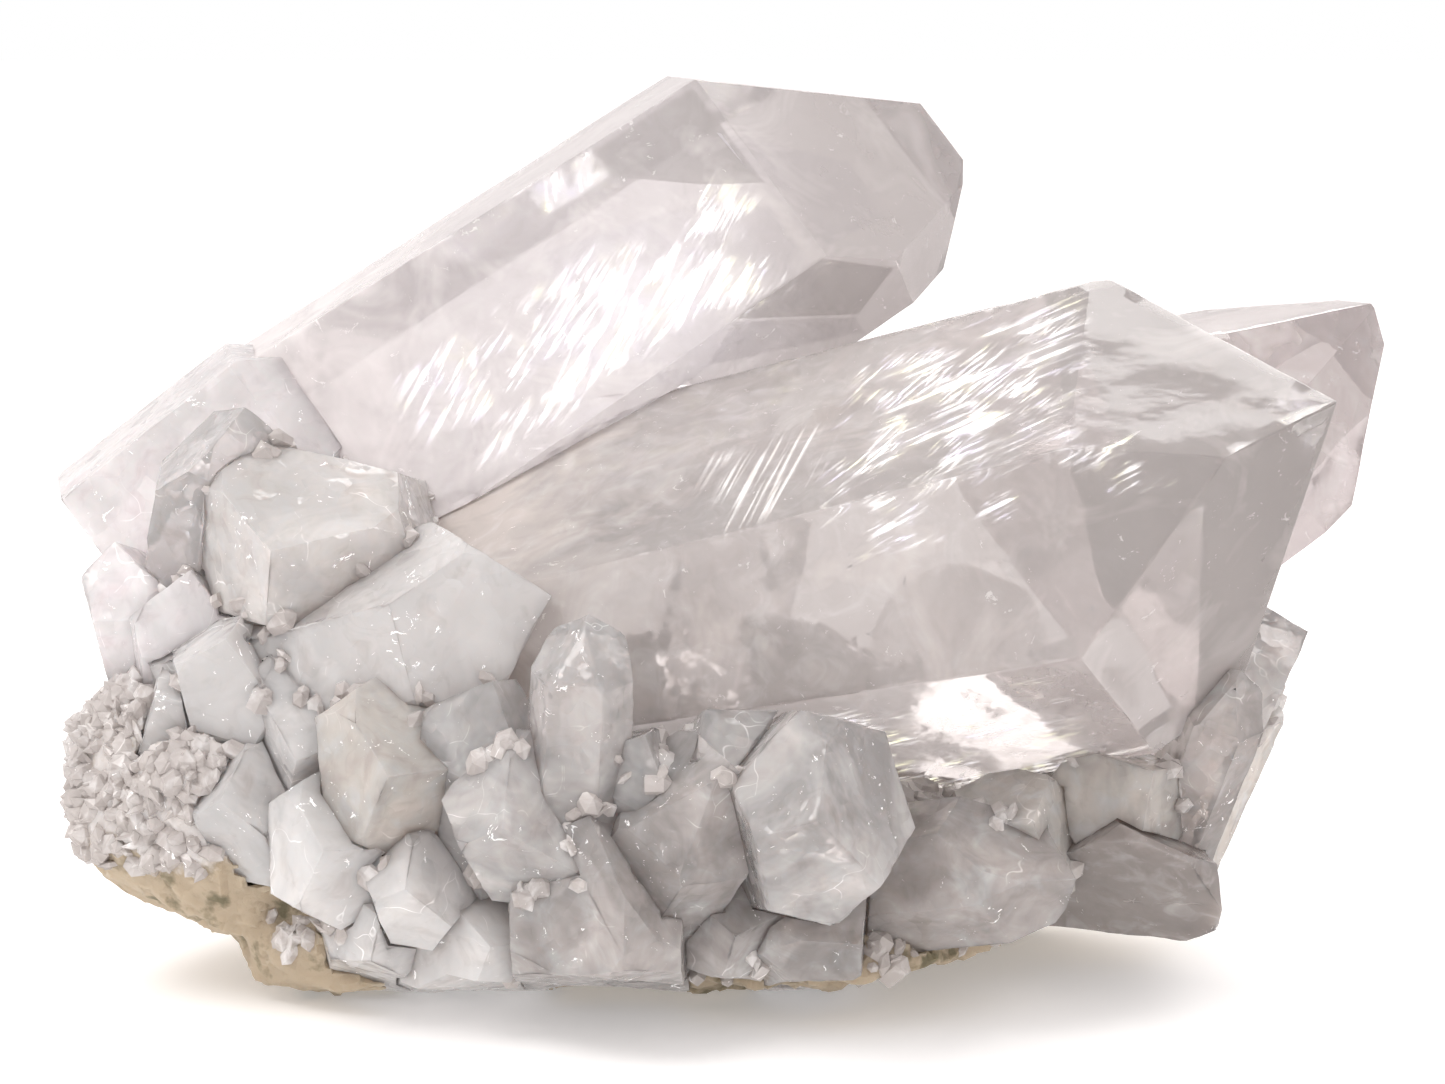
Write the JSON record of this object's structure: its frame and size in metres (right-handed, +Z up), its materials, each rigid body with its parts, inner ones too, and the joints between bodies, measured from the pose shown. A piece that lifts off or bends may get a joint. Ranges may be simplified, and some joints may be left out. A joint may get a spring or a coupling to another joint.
{
  "type": "quartz crystal cluster",
  "caption": "Free-standing cluster of clear quartz: giant six-sided points lying over a bed of stubby crystals grown from a knobbly milky matrix, a mineral display piece.",
  "frame": {"origin": "middle of the footprint, at the height of the resting patches", "axes": "+X along the longest extent, to the right seen from the show side; +Z up; -Y is the show side"},
  "size_m": [0.1656, 0.1048, 0.1094],
  "materials": {
    "clear_quartz": "glassy, clear at the points, faintly lavender",
    "milky_quartz": "milky, satin",
    "warm_quartz": "beige, satin",
    "grey_quartz": "grey, glassy with veils",
    "pink_quartz": "pale pink, satin",
    "matrix_rock": "rough, milky with tan and olive stains"
  },
  "bodies": {
    "root": {"right_giant": "clear_quartz", "left_giant": "clear_quartz", "right_back": "clear_quartz", "left_flank": "pink_quartz", "left_block": "warm_quartz", "mid_left": "milky_quartz", "mid_right_b": "clear_quartz", "mid_right_a": "clear_quartz", "beige_left": "warm_quartz", "centre_finger": "clear_quartz", "centre_left": "clear_quartz", "centre_low": "clear_quartz", "centre_right": "clear_quartz", "dark_wedge": "grey_quartz", "dark_pyramid": "grey_quartz", "low_a": "grey_quartz", "low_b": "grey_quartz", "low_c": "grey_quartz", "bottom_mid": "milky_quartz", "lower_a": "milky_quartz", "lower_b": "milky_quartz", "lower_c": "milky_quartz", "lower_right": "grey_quartz", "right_base": "grey_quartz", "beige_a": "warm_quartz", "beige_b": "warm_quartz", "right_stub": "grey_quartz", "back_sliver": "warm_quartz", "right_low_back": "clear_quartz", "pink_left": "pink_quartz", "left_neighbour": "pink_quartz", "left_small_a": "clear_quartz", "left_small_b": "milky_quartz", "mid_left_b": "milky_quartz", "left_low_a": "milky_quartz", "left_low_b": "milky_quartz", "back_tall": "clear_quartz", "back_left": "warm_quartz", "back_mid": "clear_quartz", "back_right": "clear_quartz", "back_low_right": "grey_quartz", "back_low_left": "milky_quartz", "back_low_mid": "grey_quartz", "back_stub_a": "warm_quartz", "back_stub_b": "milky_quartz", "back_stub_c": "pink_quartz", "matrix": "matrix_rock"}
  },
  "joints": []
}
